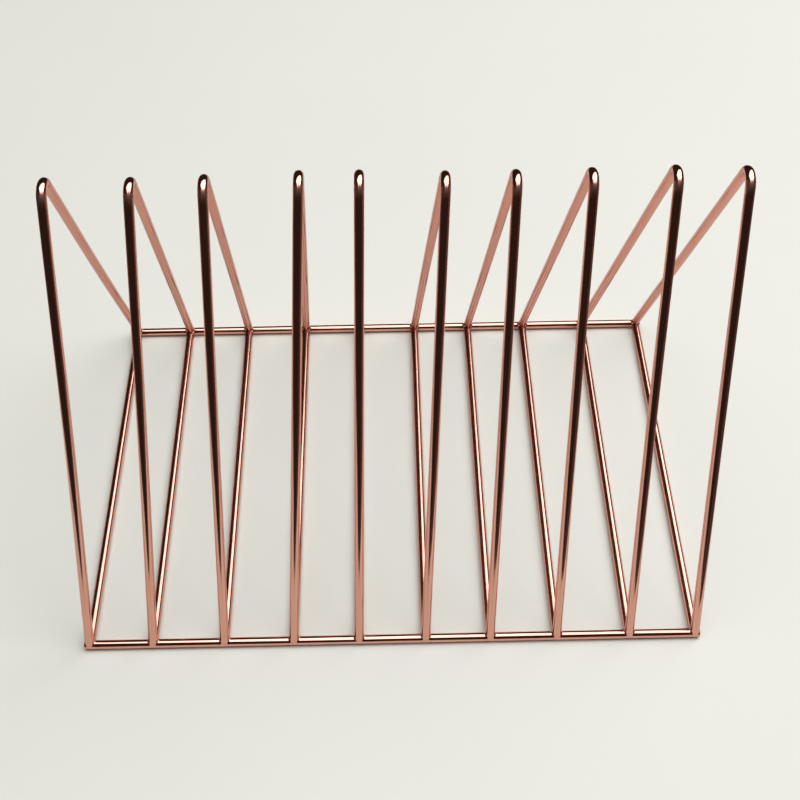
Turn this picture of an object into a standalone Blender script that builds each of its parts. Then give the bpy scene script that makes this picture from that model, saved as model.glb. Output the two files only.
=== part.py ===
"""Desktop bookshelf: a rack of plated steel wire, with ten dividers standing on two rails.

+X runs along the rails, +Y from the front rail to the rear rail, and +Z up. The origin lies on
the table, under the middle of the rack's box. All sizes are in metres.
"""
import math

import bmesh
import bpy
from mathutils import Vector

# Driving dimensions
rail_length = 0.305            # from one cut end to the other
rack_depth = 0.2157            # over the outer sides of the two rails
rack_height = 0.2083           # from the table to the top of a divider that stands upright
wire_diameter = 0.0045
bend_radius = 0.006            # centre line of the bend at the top of a divider
rail_overhang = 0.0004         # rail left over beyond the outer side of an end foot
rail_end_round = 0.0006        # rounding of a rail's cut edge
weld_gap = 0.0003              # clearance between a wire and the wire that it is welded to
foot_flare_width = 0.0008      # how far the weld spreads a divider's foot, on each side
foot_flare_height = 0.0024
floor_flare_width = 0.0005     # the same for the end of a floor wire
floor_flare_height = 0.0015
cutter_overrun = 0.004         # how far a cutter runs past what it cuts
merge_distance = 0.00002       # corners that lie closer than this are one corner

# Where each divider is welded and how it leans, from left to right, in shares of the pitch
foot_shift_shares = (0.0, -0.06, 0.0, 0.03, 0.0, -0.01, -0.05, -0.06, 0.02, 0.0)
lean_shares = (0.15, 0.32, 0.20, 0.39, 0.19, 0.31, 0.26, 0.25, 0.25, 0.19)

# Counts
divider_count = len(lean_shares)
wire_sides = 16
bend_steps = 10
flare_steps = 4
round_steps = 3
crease_angle = math.radians(40)     # an edge that turns more than this stays sharp

# Finish of the wire: copper-coloured plating
plating_colour = (0.72, 0.42, 0.33, 1.0)
plating_roughness = 0.12

# Sizes that follow from the driving dimensions
wire_radius = wire_diameter / 2
half_facet = math.pi / wire_sides
wire_flat = wire_radius * math.cos(half_facet)      # from the axis to the middle of a facet
axis_height = wire_flat                             # the rails and floor wires lie on a facet
edge_up_growth = (wire_radius + weld_gap) / math.cos(half_facet) - wire_radius
rail_spacing = rack_depth - 2 * wire_flat
foot_span = rail_length - 2 * (rail_overhang + wire_radius)
pitch = foot_span / (divider_count - 1)

# The divider's triangle, from the rails' axes: a bend on two legs that are tangent to it
half_spacing = rail_spacing / 2
bend_top = rack_height - axis_height - wire_flat
bend_centre = bend_top - bend_radius
centre_distance = math.hypot(half_spacing, bend_centre)
leg_angle = math.atan2(half_spacing, bend_centre) - math.asin(bend_radius / centre_distance)
legs_meet = half_spacing / math.tan(leg_angle)      # height at which the legs' axes would cross


def foot_offset(index):
    """X of a divider's feet, from the middle of the rails."""
    even_place = -foot_span / 2 + index * pitch
    return even_place + foot_shift_shares[index] * pitch


def lean_angle(index):
    """How far a divider is tilted sideways about the line through its feet."""
    return math.asin(lean_shares[index] * pitch / legs_meet)


def bend_reach(index, side):
    """The outermost X of a divider's bend on one side, -1 for left and 1 for right."""
    return foot_offset(index) + bend_top * math.sin(lean_angle(index)) + side * wire_radius


# The leaning dividers reach past one end of the rails, so the rails are set off the middle
indices = range(divider_count)
box_left = min([-rail_length / 2] + [bend_reach(index, -1) for index in indices])
box_right = max([rail_length / 2] + [bend_reach(index, 1) for index in indices])
middle = -(box_left + box_right) / 2


def new_collection(name):
    collection = bpy.data.collections.new(name)
    bpy.context.scene.collection.children.link(collection)
    return collection


def plating_material(name):
    """Bright copper-coloured plating on steel wire."""
    material = bpy.data.materials.new(name)
    material.use_nodes = True
    shader = material.node_tree.nodes["Principled BSDF"]
    shader.inputs["Base Color"].default_value = plating_colour
    shader.inputs["Metallic"].default_value = 1.0
    shader.inputs["Roughness"].default_value = plating_roughness
    material.diffuse_color = plating_colour
    return material


def wire(name, path, collection, place, grow=0.0, turn=half_facet, radii=None, lean=0.0):
    """Round wire along a path, as a closed mesh that lies on a facet.

    grow makes it a cutter that clears the wire, and a turn of zero stands it on an edge.
    """
    curve = bpy.data.curves.new(name + "_path", "CURVE")
    curve.dimensions = "3D"
    curve.bevel_depth = wire_radius + grow
    curve.bevel_resolution = wire_sides // 2 - 2
    curve.use_fill_caps = True
    spline = curve.splines.new("POLY")
    spline.points.add(len(path) - 1)
    for number, (point, spot) in enumerate(zip(spline.points, path)):
        point.co = (*spot, 1.0)
        point.tilt = turn
        point.radius = radii[number] if radii else 1.0
    bent = bpy.data.objects.new(name + "_path", curve)
    bent.location = place
    bent.rotation_euler.y = lean
    bpy.context.scene.collection.objects.link(bent)

    evaluated = bent.evaluated_get(bpy.context.evaluated_depsgraph_get())
    mesh = bpy.data.meshes.new_from_object(evaluated)
    shape = bmesh.new()
    shape.from_mesh(mesh)
    bmesh.ops.remove_doubles(shape, verts=shape.verts, dist=merge_distance)
    bmesh.ops.recalc_face_normals(shape, faces=shape.faces)
    shape.to_mesh(mesh)
    shape.free()

    solid = bpy.data.objects.new(name, mesh)
    solid.matrix_world = evaluated.matrix_world.copy()
    collection.objects.link(solid)
    bpy.data.objects.remove(bent)
    return solid


def flare_stations(flare_height):
    """Distances from a rail's axis at which a welded wire has a section."""
    steps = [wire_radius + flare_height * step / flare_steps for step in range(flare_steps + 1)]
    return [0.0] + steps


def spread_ends(solid, ends, width, height, outward):
    """Spread a wire sideways where it is welded to a rail.

    Each end is a point on the rail's axis and the direction of the wire from there. Nothing
    spreads outward, where the rail ends.
    """
    for vertex in solid.data.vertices:
        for start, direction in ends:
            from_rail = (vertex.co - start).dot(direction) - wire_radius
            if from_rail < height and vertex.co.x * outward <= 0:
                nearness = 1 - max(from_rail, 0.0) / height
                vertex.co.x *= 1 + width / wire_radius * nearness ** 2


def finish(solid, material):
    solid.data.materials.append(material)
    solid.data.shade_smooth()
    solid.data.set_sharp_from_angle(angle=crease_angle)


def cut_with(solid, *cutters):
    """Cope the wire to the wires that it meets."""
    for cutter in cutters:
        cut = solid.modifiers.new("cope_" + cutter.name, "BOOLEAN")
        cut.operation = "DIFFERENCE"
        cut.solver = "EXACT"
        cut.object = cutter
    merge = solid.modifiers.new("merge_corners", "WELD")
    merge.merge_threshold = merge_distance


def mark_cutter(cutter):
    cutter.hide_render = True
    cutter.display_type = "WIRE"


def rail(name, y, rack, material):
    """A straight wire whose cut ends are rounded."""
    turns = [math.pi / 2 * step / round_steps for step in range(round_steps + 1)]
    left = [(-rail_length / 2 + rail_end_round * (1 - math.cos(turn)), 0, 0) for turn in turns]
    right = [(-x, y, z) for x, y, z in reversed(left)]
    radii = [1 - rail_end_round * (1 - math.sin(turn)) / wire_radius for turn in turns]
    place = (middle, y, axis_height)
    solid = wire(name, left + right, rack, place, radii=radii + radii[::-1])
    finish(solid, material)


def rail_cutter(name, y, cutters):
    """The rail grown by the weld gap, to cope what stands on the rail or ends at it."""
    reach = rail_length / 2 + cutter_overrun
    path = [(-reach, 0, 0), (reach, 0, 0)]
    solid = wire(name, path, cutters, (middle, y, axis_height), grow=weld_gap)
    mark_cutter(solid)
    return solid


def outward_side(index):
    """-1 for the leftmost wire, 1 for the rightmost and 0 for the ones between."""
    return (index == divider_count - 1) - (index == 0)


def floor_wire(name, index, collection, grow=0.0, turn=half_facet):
    """A straight wire from rail to rail, spread a little where it is welded to them."""
    front = Vector((0, -half_spacing, 0))
    backwards = Vector((0, 1, 0))
    path = [front + backwards * station for station in flare_stations(floor_flare_height)]
    path += [-spot for spot in reversed(path)]
    place = (middle + foot_offset(index), 0, axis_height)
    solid = wire(name, path, collection, place, grow=grow, turn=turn)
    ends = [(front, backwards), (-front, -backwards)]
    spread_ends(solid, ends, floor_flare_width, floor_flare_height, outward_side(index))
    return solid


def floor_cutter(name, index, cutters):
    """The floor wire grown by the weld gap, to cope the divider that stands above it.

    It stands on an edge, so that none of its facets lies in a facet of a rail's cutter.
    """
    solid = floor_wire(name, index, cutters, grow=edge_up_growth, turn=0.0)
    mark_cutter(solid)
    return solid


def divider(name, index, collection):
    """A wire bent into an upside-down V, from the front rail's axis to the rear rail's."""
    foot = Vector((0, -half_spacing, 0))
    up_leg = Vector((0, math.sin(leg_angle), math.cos(leg_angle)))
    rear_foot = Vector((0, half_spacing, 0))
    up_rear_leg = Vector((0, -up_leg.y, up_leg.z))
    leg = [foot + up_leg * station for station in flare_stations(foot_flare_height)]
    bend = []
    for step in range(bend_steps + 1):
        angle = math.pi - leg_angle - (math.pi - 2 * leg_angle) * step / bend_steps
        spot = Vector((0, math.cos(angle), math.sin(angle))) * bend_radius
        bend.append(spot + Vector((0, 0, bend_centre)))
    rear_leg = [Vector((0, -spot.y, spot.z)) for spot in reversed(leg)]
    place = (middle + foot_offset(index), 0, axis_height)
    solid = wire(name, leg + bend + rear_leg, collection, place, lean=lean_angle(index))
    ends = [(foot, up_leg), (rear_foot, up_rear_leg)]
    spread_ends(solid, ends, foot_flare_width, foot_flare_height, outward_side(index))
    return solid


def build():
    for leftover in list(bpy.data.objects):
        bpy.data.objects.remove(leftover)
    rack = new_collection("desktop_bookshelf")
    cutters = new_collection("cutters")
    rail_plating = plating_material("rail_plating")
    floor_plating = plating_material("floor_wire_plating")
    divider_plating = plating_material("divider_plating")

    rail("front_rail", -half_spacing, rack, rail_plating)
    rail("rear_rail", half_spacing, rack, rail_plating)
    front_cutter = rail_cutter("front_rail_cutter", -half_spacing, cutters)
    rear_cutter = rail_cutter("rear_rail_cutter", half_spacing, cutters)

    for index in indices:
        number = f"{index + 1:02d}"
        lower = floor_wire("floor_wire_" + number, index, rack)
        cut_with(lower, front_cutter, rear_cutter)
        finish(lower, floor_plating)
        lower_cutter = floor_cutter("floor_cutter_" + number, index, cutters)
        upper = divider("divider_" + number, index, rack)
        cut_with(upper, front_cutter, rear_cutter, lower_cutter)
        finish(upper, divider_plating)


build()
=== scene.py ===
# %% [markdown]
# # A wire bookshelf in copper-coloured plating
#
# This lesson dresses a small desktop bookshelf. It has ten dividers bent from round wire, two
# rails that lie on the table and ten floor wires between them. The solid model says where each
# wire is and how long it is. What is added here makes the wire look real: a truly round section,
# welds that run out into the rails, a bright plating, and large soft lamps over a pale table.

# %% Load the solid model
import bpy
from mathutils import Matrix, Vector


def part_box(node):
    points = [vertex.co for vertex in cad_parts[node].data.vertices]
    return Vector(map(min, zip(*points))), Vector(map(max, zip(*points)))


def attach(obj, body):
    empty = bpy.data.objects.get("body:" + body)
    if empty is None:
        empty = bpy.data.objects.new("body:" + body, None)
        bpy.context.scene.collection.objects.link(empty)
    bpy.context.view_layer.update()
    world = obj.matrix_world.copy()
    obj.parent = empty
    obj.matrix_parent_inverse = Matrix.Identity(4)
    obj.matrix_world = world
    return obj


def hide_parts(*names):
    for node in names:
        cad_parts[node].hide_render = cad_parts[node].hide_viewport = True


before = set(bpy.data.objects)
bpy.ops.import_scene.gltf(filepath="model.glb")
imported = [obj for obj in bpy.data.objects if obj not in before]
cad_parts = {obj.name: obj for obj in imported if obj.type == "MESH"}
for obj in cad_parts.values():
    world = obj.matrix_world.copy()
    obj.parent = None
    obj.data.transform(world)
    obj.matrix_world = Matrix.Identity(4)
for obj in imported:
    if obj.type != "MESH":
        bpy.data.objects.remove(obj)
print(len(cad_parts), "solid pieces")

# %% [markdown]
# Blender's own modules come next. bmesh builds the wires, mathutils holds points and turns, and
# random gives each weld a slightly different size. The random numbers are seeded, so that every
# run makes the same shelf. All places are in metres, as in the solid model, and what is printed
# is in millimetres.

# %% Tools
import math
import random

import bmesh
import bpy
from mathutils import Matrix, Vector

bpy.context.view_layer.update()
millimetre = 0.001
weld_seed = 11
hand = random.Random(weld_seed)

# %% [markdown]
# ## Sizes
#
# All wires have one thickness. The rails' places are read from the solid model, and so is the
# spacing of everything that stands on them. The model's wires have sixteen flat sides. The ones
# made here are round, so they lie on the table along a line, at the height of their own radius.

# %% Sizes of the wire
wire_radius = 0.00225
bend_radius = 0.006             # centre line of the bend at the top of a divider
rail_end_round = 0.0006         # the cut edge of a rail, tumbled before plating
sides = 48                      # facets round the wire
divider_count = 10

front_low, front_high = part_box("front_rail")
rear_low, rear_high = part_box("rear_rail")
front_y = (front_low.y + front_high.y) / 2
rear_y = (rear_low.y + rear_high.y) / 2
half_spacing = (rear_y - front_y) / 2
axis_height = wire_radius
print("rails", round((rear_y - front_y) / millimetre, 2), "mm apart")

# %% [markdown]
# ## How the wire remembers its length
#
# Drawn wire has faint marks along it, and plating follows them. A pattern that runs along a
# bent wire needs to know where each point lay while the wire was straight. So each point keeps
# that place as an attribute: two numbers across the wire and one along it. It also keeps how
# dull the metal is. That is nothing on most of a wire. It is most at a weld, and on both sides
# of a bend, where the bending tool has rubbed the wire. An attribute is stored in the mesh, so
# the pattern stays on the wire whatever is done to the object. Every wire has a number of its
# own, which moves its pattern along, so that no two wires look alike.

# %% Store a wire's straight place and its dullness
STRAIGHT = "straight_wire"
DULL = "dullness"
weld_reach = 0.004              # how far from a rail the plating is duller
weld_dullness = 0.85            # at the weld itself
front_rail_number, rear_rail_number = 1, 2
floor_wire_numbers, divider_numbers = 3, 20     # the first of each, and the others follow


def fade(distance, reach):
    """One at a place, falling evenly to nothing at the reach."""
    return max(0.0, 1 - max(distance, 0.0) / reach)


def remember(shape, straight_place, dullness, number):
    """Keep each point's place on the straight wire, and how dull the metal is there."""
    straight = shape.verts.layers.float_vector.new(STRAIGHT)
    dull = shape.verts.layers.float.new(DULL)
    for point in shape.verts:
        place = straight_place(point.co)
        point[straight] = place + Vector((0, 0, number))
        point[dull] = dullness(point.co)


print("a weld dulls the plating up to", round(weld_reach / millimetre, 1), "mm away")

# %% [markdown]
# ## From a shape to a piece
#
# Every wire ends in the same way. Points that lie on each other are merged, the faces are
# turned outwards, the shape becomes a smooth-shaded mesh, and the piece takes the place of its
# solid. Edges sharper than forty degrees stay crisp, which only the ends of the rails have.

# %% Make a piece from a shape
merge_distance = 0.000002
crisp_angle = math.radians(40)


def make_piece(shape, name, node, plating):
    bmesh.ops.remove_doubles(shape, verts=shape.verts, dist=merge_distance)
    bmesh.ops.recalc_face_normals(shape, faces=shape.faces)
    mesh = bpy.data.meshes.new(name)
    shape.to_mesh(mesh)
    shape.free()
    mesh.materials.append(plating)
    mesh.shade_smooth()
    mesh.set_sharp_from_angle(angle=crisp_angle)
    piece = bpy.data.objects.new(name, mesh)
    bpy.context.scene.collection.objects.link(piece)
    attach(piece, "root")
    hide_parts(node)
    return piece


print("edges sharper than", round(math.degrees(crisp_angle)), "degrees stay crisp")

# %% [markdown]
# ## The plating
#
# The finish is bright copper colour over polished steel. On the real wire it isn't quite even.
# The tone drifts a little from place to place, faint draw marks run along the wire, the lacquer
# has a soft ripple, and the metal is duller round the welds and beside the bends. It could be
# painted on an unwrapped mesh. Nodes need no picture and follow the wires' own attributes, so
# they are used here. A material is a tree of nodes, made and joined in the same way each time,
# and a few helpers for that come first.

# %% Small helpers for material nodes


def add_node(material, kind, **settings):
    node = material.node_tree.nodes.new(kind)
    for key, value in settings.items():
        setattr(node, key, value)
    return node


def join(material, start, end):
    material.node_tree.links.new(start, end)


def straight_pattern(material, scale):
    """Coordinates along the straight wire, scaled across it and along it."""
    source = add_node(material, "ShaderNodeAttribute", attribute_name=STRAIGHT)
    mapping = add_node(material, "ShaderNodeMapping")
    mapping.inputs["Scale"].default_value = scale
    join(material, source.outputs["Vector"], mapping.inputs["Vector"])
    return mapping.outputs["Vector"]


def noise(material, coordinates, detail=3.0, roughness=0.5):
    node = add_node(material, "ShaderNodeTexNoise")
    node.inputs["Scale"].default_value = 1.0
    node.inputs["Detail"].default_value = detail
    node.inputs["Roughness"].default_value = roughness
    join(material, coordinates, node.inputs["Vector"])
    return node.outputs["Fac"]


def remap(material, value, low, high, to_low, to_high):
    """Stretch a value from one range to another."""
    node = add_node(material, "ShaderNodeMapRange")
    node.inputs["From Min"].default_value = low
    node.inputs["From Max"].default_value = high
    node.inputs["To Min"].default_value = to_low
    node.inputs["To Max"].default_value = to_high
    join(material, value, node.inputs["Value"])
    return node.outputs["Result"]


def blend_colours(material, factor, first, second):
    node = add_node(material, "ShaderNodeMix", data_type="RGBA")
    join(material, factor, node.inputs["Factor"])
    for socket, colour in ((node.inputs["A"], first), (node.inputs["B"], second)):
        if isinstance(colour, tuple):
            socket.default_value = colour
        else:
            join(material, colour, socket)
    return node.outputs["Result"]


def calculate(material, operation, first, second):
    node = add_node(material, "ShaderNodeMath", operation=operation)
    for socket, value in zip(node.inputs, (first, second)):
        if isinstance(value, float):
            socket.default_value = value
        else:
            join(material, value, socket)
    return node.outputs["Value"]


print("material helpers are ready")

# %% [markdown]
# A metal takes its colour from the base colour alone, so two close copper tones are mixed by a
# slow noise, and a third one where the wire is dull. Roughness tells how blurred the mirror
# image is. It comes from a noise on the straight wire, stretched along it for the draw marks,
# and dullness adds to it. The bump joins the same marks with the soft ripple. The dividers are
# smoother than the rails and floor wires, as they are easier to polish.

# %% The copper-coloured plating
rosy_copper = (0.765, 0.388, 0.306, 1.0)
warm_copper = (0.74, 0.371, 0.284, 1.0)
dull_copper = (0.74, 0.378, 0.288, 1.0)
edge_tint = (0.68, 0.62, 0.62, 1.0)     # dims what the wire mirrors at a slant
across_fine = 1400.0            # draw marks per metre round the wire
along_slow = 9.0                # and along it
ripple_scale = 260.0
tone_scale = 28.0
noise_low, noise_high = 0.3, 0.7        # between these lies nearly all of a noise
mark_roughness = 0.05           # how much rougher the metal is in the deepest draw marks
dull_roughness = 0.3            # and where it is fully dull
mark_relief = 0.05              # height of the draw marks, as a share of the ripple's
relief_depth = 0.000014
relief_strength = 0.5
rail_roughness = 0.07
floor_wire_roughness = 0.08
divider_roughness = 0.05


def copper_plating(name, lowest_roughness):
    """Bright plating, as rough as given where it is polished best."""
    material = bpy.data.materials.new(name)
    material.use_nodes = True
    shader = material.node_tree.nodes["Principled BSDF"]
    shader.inputs["Metallic"].default_value = 1.0
    shader.inputs["Specular Tint"].default_value = edge_tint

    slow = noise(material, straight_pattern(material, (tone_scale,) * 3))
    tone = remap(material, slow, noise_low, noise_high, 0.0, 1.0)
    copper = blend_colours(material, tone, rosy_copper, warm_copper)
    dull = add_node(material, "ShaderNodeAttribute", attribute_name=DULL).outputs["Fac"]
    join(material, blend_colours(material, dull, copper, dull_copper),
         shader.inputs["Base Color"])

    marks = noise(material, straight_pattern(material, (across_fine, across_fine, along_slow)),
                  detail=2.0)
    ripple = noise(material, straight_pattern(material, (ripple_scale,) * 3), detail=1.0)
    polish = remap(material, marks, noise_low, noise_high,
                   lowest_roughness, lowest_roughness + mark_roughness)
    dulled = calculate(material, "MULTIPLY", dull, dull_roughness)
    join(material, calculate(material, "ADD", polish, dulled), shader.inputs["Roughness"])

    low_marks = calculate(material, "MULTIPLY", marks, mark_relief)
    relief = calculate(material, "ADD", low_marks, ripple)
    bump = add_node(material, "ShaderNodeBump")
    bump.inputs["Strength"].default_value = relief_strength
    bump.inputs["Distance"].default_value = relief_depth
    join(material, relief, bump.inputs["Height"])
    join(material, bump.outputs["Normal"], shader.inputs["Normal"])
    return material


rail_plating = copper_plating("rail_plating", rail_roughness)
floor_plating = copper_plating("floor_wire_plating", floor_wire_roughness)
divider_plating = copper_plating("divider_plating", divider_roughness)
print("platings:", rail_plating.name, floor_plating.name, divider_plating.name)

# %% [markdown]
# ## The rails
#
# A rail is a straight wire, cut to length and tumbled, so that its ends have a small round edge.
# It could be a curve with a thickness. A cone with two equal radii is simpler: it gives a closed
# cylinder at once, and a bevel on its two rims rounds the cut.

# %% The two rails
end_steps = 5                   # facets across the rounded edge


def make_rail(name, node, number):
    low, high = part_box(node)
    shape = bmesh.new()
    bmesh.ops.create_cone(shape, cap_ends=True, segments=sides, radius1=wire_radius,
                          radius2=wire_radius, depth=high.x - low.x)
    rims = [edge for edge in shape.edges
            if abs(edge.verts[0].co.z - edge.verts[1].co.z) < merge_distance]
    bmesh.ops.bevel(shape, geom=rims, offset=rail_end_round, segments=end_steps, profile=0.5,
                    affect="EDGES", material=-1)
    remember(shape, lambda co: co.copy(), lambda co: 0.0, number)
    lay_down = Matrix.Rotation(math.pi / 2, 4, "Y")
    place = Matrix.Translation(((low.x + high.x) / 2, (low.y + high.y) / 2, axis_height))
    bmesh.ops.transform(shape, matrix=place @ lay_down, verts=shape.verts)
    return make_piece(shape, name, node, rail_plating)


front_rail = make_rail("plated_front_rail", "front_rail", front_rail_number)
rear_rail = make_rail("plated_rear_rail", "rear_rail", rear_rail_number)
print("rails", round(front_rail.dimensions.x / millimetre, 1), "and",
      round(rear_rail.dimensions.x / millimetre, 1), "mm long")

# %% [markdown]
# ## A weld
#
# Where a wire is welded to a rail, its end is fitted to the rail's round side, and the molten
# metal leaves a small hollow fillet on both sides. The wire and the rail are equally thick, so a
# point at the side of the wire meets the rail one radius before the rail's axis, and a point on
# the wire's front meets it at the axis. Between these the fillet shrinks from its full size to
# nothing. The feet of the dividers stand a little outside the rail's axis. There the front of the
# wire laps over the rail and is rounded off on its face. A boolean cut would leave a hard seam.
# Instead the end is a stack of rings, each extruded from the one before, and every point of them
# is set on the way from its place on the wire to its place on the rail.

# %% Extrude rings and shape a weld
fillet_steps = 7
inner_share = 0.6               # how far the closed end inside the rail is drawn in
foot_overhang = 0.00045         # how far a divider's foot stands outside the rail's axis
foot_lap = 0.0005               # how far it laps down over the rail's face
lap_rounding = 0.0008           # how far up the foot's front the lap's rounding starts


def first_ring(shape, height):
    """A circle of edges round the Z axis, from which the wire is extruded both ways."""
    points = bmesh.ops.create_circle(shape, segments=sides, radius=wire_radius)["verts"]
    bmesh.ops.translate(shape, vec=(0, 0, height), verts=points)
    return shape.edges[:]


def extrude_ring(shape, ring, shift=(0, 0, 0)):
    """The next ring of the wire. Returns its edges."""
    made = bmesh.ops.extrude_edge_only(shape, edges=ring)["geom"]
    points = [part for part in made if isinstance(part, bmesh.types.BMVert)]
    bmesh.ops.translate(shape, vec=shift, verts=points)
    return [part for part in made if isinstance(part, bmesh.types.BMEdge)]


def points_of(ring):
    return list({point for edge in ring for point in edge.verts})


def weld_places(x, y, fillet, spreads, overhang):
    """Where the weld at one point of the wire's outline starts and ends.

    It starts on the wire and ends on the rail.
    """
    aside = abs(x) / wire_radius
    depth = y - overhang
    past_rail = max(-depth - wire_radius, 0.0) / max(overhang, merge_distance)
    if past_rail > 0:
        height = -foot_lap * past_rail
    else:
        height = math.sqrt(max(wire_radius ** 2 - depth ** 2, 0.0))
    spread = aside * (spreads[1] if x > 0 else spreads[0])
    face = math.copysign(math.sqrt(wire_radius ** 2 - height ** 2), depth)
    on_wire = Vector((x, y, height + fillet * aside + lap_rounding * past_rail))
    on_rail = Vector((x + math.copysign(spread, x), face + overhang, height))
    return on_wire, on_rail


def weld_end(shape, ring, fillet, spreads, overhang=0.0):
    """Run a wire's lower end out into a rail that lies along X, through the origin.

    spreads tells how far the weld runs out to the left and to the right.
    """
    rings = []
    for step in range(fillet_steps + 1):
        ring = extrude_ring(shape, ring)
        rings.append(ring)
    for step, ring in enumerate(rings):
        turn = math.pi / 2 * step / fillet_steps
        for point in points_of(ring):
            on_wire, on_rail = weld_places(point.co.x, point.co.y, fillet, spreads, overhang)
            way = on_rail - on_wire
            out, down = 1 - math.cos(turn), math.sin(turn)
            point.co = on_wire + Vector((way.x * out, way.y * out, way.z * down))
    ring = extrude_ring(shape, rings[-1])
    for point in points_of(ring):
        point.co = (point.co.x * inner_share, point.co.y * inner_share, 0.0)
    bmesh.ops.contextual_create(shape, geom=ring)


print("a weld has", fillet_steps + 1, "rings of", sides, "points")

# %% [markdown]
# ## The floor wires
#
# Each floor wire runs from rail to rail, and both its ends are alike. So half of it is made, with
# one weld, and mirrored. Its place is measured on the solid wire. The welds differ a little in
# size from wire to wire, as welds made by hand do.

# %% The ten floor wires
smallest_fillet = 0.0008
largest_fillet = 0.0012
outer_spread = 0.0001           # of the outermost welds, towards the ends of the rails
solid_sides = 16
solid_flat = wire_radius * math.cos(math.pi / solid_sides)      # axis to facet


def wire_x(index):
    """X of the axis of one floor wire and of the divider above it.

    The outermost welds spread only inwards, so the outer side of the box is the plain wire.
    """
    low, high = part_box(f"floor_wire_{index + 1:02d}")
    if index == 0:
        return low.x + solid_flat
    if index == divider_count - 1:
        return high.x - solid_flat
    return (low.x + high.x) / 2


def weld_size(index):
    """The fillet of one weld, and how far it spreads to the left and to the right."""
    fillet = hand.uniform(smallest_fillet, largest_fillet)
    left = outer_spread if index == 0 else fillet
    right = outer_spread if index == divider_count - 1 else fillet
    return fillet, (left, right)


def mirror_back(shape):
    """Add the rear half of a shape whose front half ends at y = 0."""
    bmesh.ops.mirror(shape, geom=shape.verts[:] + shape.edges[:] + shape.faces[:],
                     matrix=Matrix(), merge_dist=merge_distance, axis="Y")


def half_of_floor_wire(shape, index):
    fillet, spreads = weld_size(index)
    ring = first_ring(shape, wire_radius + fillet)
    weld_end(shape, ring, fillet, spreads)
    extrude_ring(shape, ring, (0, 0, half_spacing - wire_radius - fillet))
    along_y = Matrix.Rotation(-math.pi / 2, 4, "X")
    place = Matrix.Translation((0, -half_spacing, 0))
    bmesh.ops.transform(shape, matrix=place @ along_y, verts=shape.verts)


def make_floor_wire(index):
    node = f"floor_wire_{index + 1:02d}"
    shape = bmesh.new()
    half_of_floor_wire(shape, index)
    mirror_back(shape)
    remember(shape, lambda co: Vector((co.x, co.z, co.y)),
             lambda co: weld_dullness * fade(half_spacing - abs(co.y), weld_reach),
             floor_wire_numbers + index)
    bmesh.ops.translate(shape, vec=(wire_x(index), 0, axis_height), verts=shape.verts)
    return make_piece(shape, "plated_" + node, node, floor_plating)


floor_wires = [make_floor_wire(index) for index in range(divider_count)]
print(len(floor_wires), "floor wires,", len(floor_wires[0].data.polygons), "faces each")

# %% [markdown]
# ## The dividers
#
# A divider is one wire, bent over a round former into an upside-down V, and welded to both rails.
# Half of it is built standing straight: the weld, the leg in a few stations, and half of the
# bend, which a spin makes from the last ring. The half is tilted to the leg's slope and mirrored.
# The leg is tangent to the bend, which gives its slope and length from the divider's height.

# %% The shape of a divider
leg_stations = 12
bend_steps = 9
fine_reach = 0.0065             # the leg's top, where the plating changes, has closer stations
fine_stations = 6
top_ring_reach = wire_radius / 20       # the points of the solid's top ring lie so near y = 0


def divider_top(node):
    """The middle of the solid wire at its top, where it crosses y = 0."""
    points = [point.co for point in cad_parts[node].data.vertices]
    ring = [co for co in points if abs(co.y) < top_ring_reach]
    lows = Vector(min(co[axis] for co in ring) for axis in range(3))
    highs = Vector(max(co[axis] for co in ring) for axis in range(3))
    return (lows + highs) / 2


def leg_slope(height):
    """The leg's tilt from upright and its length from the rail's axis to the bend."""
    centre = height - bend_radius
    reach = math.hypot(half_spacing, centre)
    slope = math.atan2(half_spacing, centre) - math.asin(bend_radius / reach)
    return slope, math.sqrt(reach ** 2 - bend_radius ** 2)


def half_of_divider(shape, index, slope, length):
    """The front half: the weld, the leg and half of the bend."""
    fillet, spreads = weld_size(index)
    base = wire_radius + fillet
    ring = first_ring(shape, base)
    weld_end(shape, ring, fillet, spreads, foot_overhang)
    for station in range(leg_stations):
        ring = extrude_ring(shape, ring, (0, 0, (length - base - fine_reach) / leg_stations))
    for station in range(fine_stations):
        ring = extrude_ring(shape, ring, (0, 0, fine_reach / fine_stations))
    for point in shape.verts:
        share = max(point.co.z - base, 0.0) / (length - base)
        point.co.y -= foot_overhang * (1 - share)
    bmesh.ops.spin(shape, geom=ring, cent=(0, bend_radius, length), axis=(1, 0, 0),
                   angle=slope - math.pi / 2, steps=bend_steps)
    tilt = Matrix.Rotation(-slope, 4, "X")
    place = Matrix.Translation((0, -half_spacing, 0))
    bmesh.ops.transform(shape, matrix=place @ tilt, verts=shape.verts)


print("slope of a leg:", round(math.degrees(leg_slope(divider_top("divider_01").z)[0]), 1))

# %% [markdown]
# The straight place of a point on the V follows from the same construction. Above the line
# where the bend starts it is measured round the bend, and below it along the leg. It also tells
# where the bending tool has rubbed the wire dull.
#
# Wire bent by hand is never quite even. So each leg is bowed sideways by a few tenths of a
# millimetre, and each top is moved back and up, most of them by less than a millimetre. The
# sideways lean comes last. It turns the whole V about the line through its feet, but the last
# few millimetres keep their height, so that the welds stay on the rails.

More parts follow.
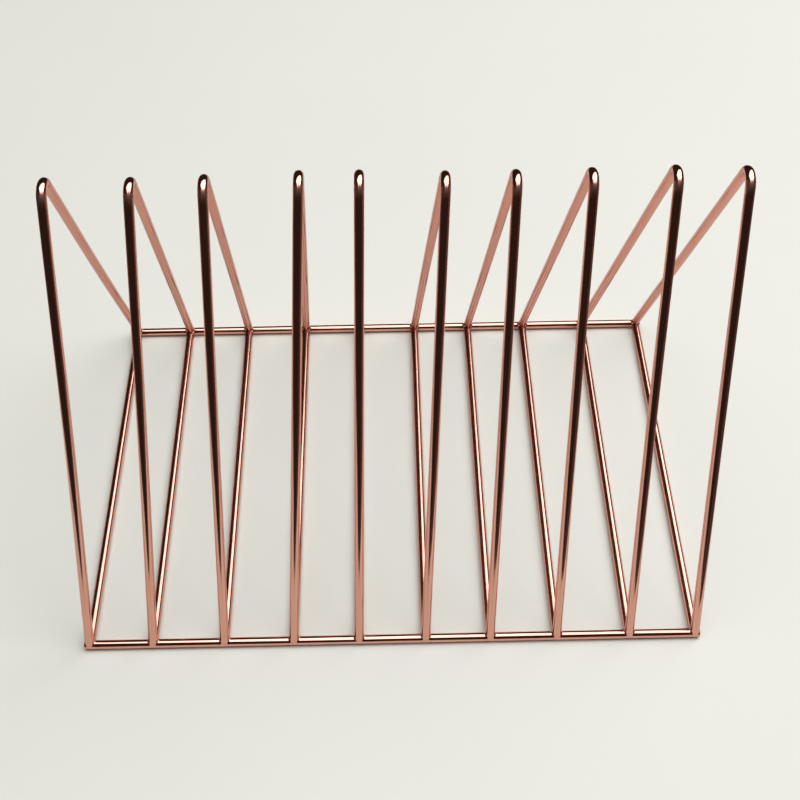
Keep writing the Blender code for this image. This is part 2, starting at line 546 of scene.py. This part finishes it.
# %% The ten dividers
# In millimetres, one number for each divider: both legs' bows to the right, and the way that
# the top is moved back and, equally, up.
front_bow = (0.5, 0.3, -0.1, 0.1, 0.0, 0.1, 0.0, -0.2, -0.3, -0.2)
rear_bow = (-0.5, -0.1, 0.0, 0.1, 0.0, -0.1, 0.2, 0.1, 0.0, 0.1)
top_shift = (0.24, 0.03, 0.42, 1.28, 1.0, 0.36, 0.39, 0.54, 0.86, 0.24)
back_and_up = Vector((0, 1, 1))
rubbed_from, most_rubbed, rubbed_to = 0.0026, 0.0055, 0.0110    # along the wire from its top
foot_height = 0.008             # below this the lean fades, so that the weld stays seated


def place_on_straight_wire(slope, height):
    """A function that finds where a point of the bent V lay on the straight wire."""
    centre = Vector((0, 0, height - bend_radius))
    outward = Vector((0, math.cos(slope), math.sin(slope)))
    down_leg = Vector((0, math.sin(slope), -math.cos(slope)))
    half_bend = bend_radius * (math.pi / 2 - slope)

    def straight_place(co):
        side = math.copysign(1.0, co.y)
        spot = Vector((0, abs(co.y), co.z)) - centre
        along = spot.dot(down_leg)
        if along > 0:
            return Vector((co.x, spot.dot(outward) - bend_radius, side * (half_bend + along)))
        turn = math.atan2(spot.y, spot.z)
        return Vector((co.x, spot.length - bend_radius, side * bend_radius * turn))

    return straight_place


def dullness_of_divider(straight_place):
    """A function that tells how dull a point of the V is: at its welds and beside its bend."""
    def dullness(co):
        along = abs(straight_place(co).z)
        rubbed = min(fade(most_rubbed - along, most_rubbed - rubbed_from),
                     fade(along - most_rubbed, rubbed_to - most_rubbed))
        return max(weld_dullness * fade(co.z, weld_reach), rubbed)

    return dullness


def bend_by_hand(shape, height, index):
    """Bow both legs of a V a little sideways, and move its top back and up."""
    for point in shape.verts:
        share = min(max(point.co.z / height, 0.0), 1.0)
        bow = front_bow[index] if point.co.y < 0 else rear_bow[index]
        point.co.x += millimetre * bow * math.sin(math.pi * share) ** 2
        point.co += millimetre * top_shift[index] * share * back_and_up


def lean_over(shape, lean):
    """Tilt the V sideways about the line through its feet."""
    for point in shape.verts:
        seated = min(max(point.co.z / foot_height, 0.0), 1.0)
        x, z = point.co.x, point.co.z
        point.co.x = x * math.cos(lean) + z * math.sin(lean)
        point.co.z = z * math.cos(lean) - x * math.sin(lean) * seated


def make_divider(index):
    node = f"divider_{index + 1:02d}"
    top = divider_top(node)
    foot_x = wire_x(index)
    rise = top.z - axis_height
    lean = math.atan2(top.x - foot_x, rise)
    height = math.hypot(top.x - foot_x, rise)
    slope, length = leg_slope(height)
    shape = bmesh.new()
    half_of_divider(shape, index, slope, length)
    mirror_back(shape)
    straight_place = place_on_straight_wire(slope, height)
    remember(shape, straight_place, dullness_of_divider(straight_place),
             divider_numbers + index)
    bend_by_hand(shape, height, index)
    lean_over(shape, lean)
    bmesh.ops.translate(shape, vec=(foot_x, 0, axis_height), verts=shape.verts)
    return make_piece(shape, "plated_" + node, node, divider_plating)


dividers = [make_divider(index) for index in range(divider_count)]
print(len(dividers), "dividers,", len(dividers[0].data.polygons), "faces each")

# %% [markdown]
# ## The table
#
# The shelf stands on a pale sheet on a dark desk. The sheet's edges matter, although the camera
# sees only its middle: the lower ends of the legs mirror the pale sheet and look pink, and
# higher up they mirror what lies beyond it, and look nearly black. The sheet is turned a little,
# so that its right edge runs close beside the shelf, and its front edge is cut at a slant. A
# grid of one face is enough for each. Neither is part of the shelf.

# %% The pale sheet and the desk
sheet_middle = (-0.096, -0.010)
sheet_width, sheet_length = 0.666, 1.272
sheet_turn = math.radians(-11.7)
front_slant = 0.545             # how much nearer its front edge comes per metre to the right
sheet_pale = (0.785, 0.78, 0.695, 1.0)
sheet_shade = (0.755, 0.75, 0.668, 1.0)
desk_size = 3.2
desk_drop = 0.0008              # how far the desk lies below the top of the sheet
desk_dark = (0.036, 0.026, 0.021, 1.0)
desk_light = (0.046, 0.033, 0.027, 1.0)
sheet_cloud_scale, desk_cloud_scale = 6.0, 9.0
matt_roughness = 0.6


def flat_piece(name, width, length, place, turn, finish, slant=0.0):
    """A rectangle of the stage, whose front edge may be cut at a slant."""
    shape = bmesh.new()
    bmesh.ops.create_grid(shape, x_segments=1, y_segments=1, size=0.5)
    bmesh.ops.scale(shape, vec=(width, length, 1), verts=shape.verts)
    for corner in shape.verts:
        if corner.co.y < 0:
            corner.co.y += slant * corner.co.x
    put = Matrix.Translation(place) @ Matrix.Rotation(turn, 4, "Z")
    bmesh.ops.transform(shape, matrix=put, verts=shape.verts)
    mesh = bpy.data.meshes.new(name)
    shape.to_mesh(mesh)
    shape.free()
    mesh.materials.append(finish)
    piece = bpy.data.objects.new(name, mesh)
    bpy.context.scene.collection.objects.link(piece)
    return piece


def cloudy_finish(name, first, second, scale):
    """A matt finish whose tone drifts a little between two colours."""
    material = bpy.data.materials.new(name)
    material.use_nodes = True
    shader = material.node_tree.nodes["Principled BSDF"]
    shader.inputs["Roughness"].default_value = matt_roughness
    place = add_node(material, "ShaderNodeTexCoord").outputs["Object"]
    mapping = add_node(material, "ShaderNodeMapping")
    mapping.inputs["Scale"].default_value = (scale,) * 3
    join(material, place, mapping.inputs["Vector"])
    cloud = noise(material, mapping.outputs["Vector"])
    join(material, blend_colours(material, cloud, first, second), shader.inputs["Base Color"])
    return material


sheet = flat_piece("pale_sheet", sheet_width, sheet_length, (*sheet_middle, 0), sheet_turn,
                   cloudy_finish("pale_sheet", sheet_pale, sheet_shade, sheet_cloud_scale),
                   front_slant)
desk = flat_piece("dark_desk", desk_size, desk_size, (0, 0, -desk_drop), 0,
                  cloudy_finish("dark_desk", desk_dark, desk_light, desk_cloud_scale))
print(sheet.name, sheet_width, "by", sheet_length, "m, on", desk.name, desk_size, "m square")

# %% [markdown]
# ## Light
#
# Bright metal shows what is round it. One large soft lamp hangs high over the right-hand rear of
# the shelf and is turned by less than half a right angle. It draws a white line along every wire
# that lies flat and a bright glint on every bend. A smaller lamp of the same brightness joins
# the middle of its front side. It shows only in the bends, and makes their glints fuller. The
# room is dim, so that the wires keep dark edges beside the white line. The brightness is set so
# that the pale sheet renders about as its colour is written.

# %% Lamps and dim room
lamp_height = 3.20
lamp_turn = math.radians(36)
lamp_radiance = 3.02
lamp_tint = (0.97, 0.985, 1.02)
room = (0.030, 0.021, 0.017, 1.0)
large_lamp_place, large_lamp_size = (1.83, 1.43), (7.52, 3.04)
small_lamp_place, small_lamp_size = (3.16, -0.27), (3.84, 1.28)


def make_lamp(name, place, size):
    """A soft rectangular lamp that faces down. Both lamps have the same height and turn."""
    length, width = size
    lamp = bpy.data.lights.new(name, "AREA")
    lamp.shape = "RECTANGLE"
    lamp.size = length
    lamp.size_y = width
    lamp.energy = lamp_radiance * math.pi * length * width
    lamp.color = lamp_tint
    holder = bpy.data.objects.new(name, lamp)
    holder.matrix_world = (Matrix.Translation((*place, lamp_height))
                           @ Matrix.Rotation(lamp_turn, 4, "Z"))
    bpy.context.scene.collection.objects.link(holder)
    return holder


def light_room():
    world = bpy.data.worlds.new("dim_room")
    world.use_nodes = True
    background = world.node_tree.nodes["Background"]
    background.inputs["Color"].default_value = room
    background.inputs["Strength"].default_value = 1.0
    bpy.context.scene.world = world


large_lamp = make_lamp("large_soft_lamp", large_lamp_place, large_lamp_size)
small_lamp = make_lamp("small_soft_lamp", small_lamp_place, small_lamp_size)
light_room()
print("lamps", round(large_lamp.data.energy, 1), "and", round(small_lamp.data.energy, 1), "W")

# %% [markdown]
# ## Camera
#
# The photograph looks down on the shelf from the front. The camera's place and angles were found
# from the lines of the wires, and its lens from how they draw together towards the back. A turn
# about the upright comes last, the tip forwards before it, and the slight roll first.

# %% Camera and view settings
camera_place = (-0.001953, -0.413124, 0.555025)
camera_tip = 0.8749238          # radians below the horizon
camera_turn = -0.0123551
camera_roll = -0.0093051
lens, sensor_width = 56.357, 36.0       # millimetres

camera_data = bpy.data.cameras.new("view_from_the_front")
camera_data.lens = lens
camera_data.sensor_width = sensor_width
camera = bpy.data.objects.new("view_from_the_front", camera_data)
camera.matrix_world = (Matrix.Translation(camera_place)
                       @ Matrix.Rotation(camera_turn, 4, "Z")
                       @ Matrix.Rotation(math.pi / 2 - camera_tip, 4, "X")
                       @ Matrix.Rotation(camera_roll, 4, "Z"))
bpy.context.scene.collection.objects.link(camera)
bpy.context.scene.camera = camera
bpy.context.scene.view_settings.view_transform = "Standard"
print("camera", [round(value, 3) for value in camera_place])
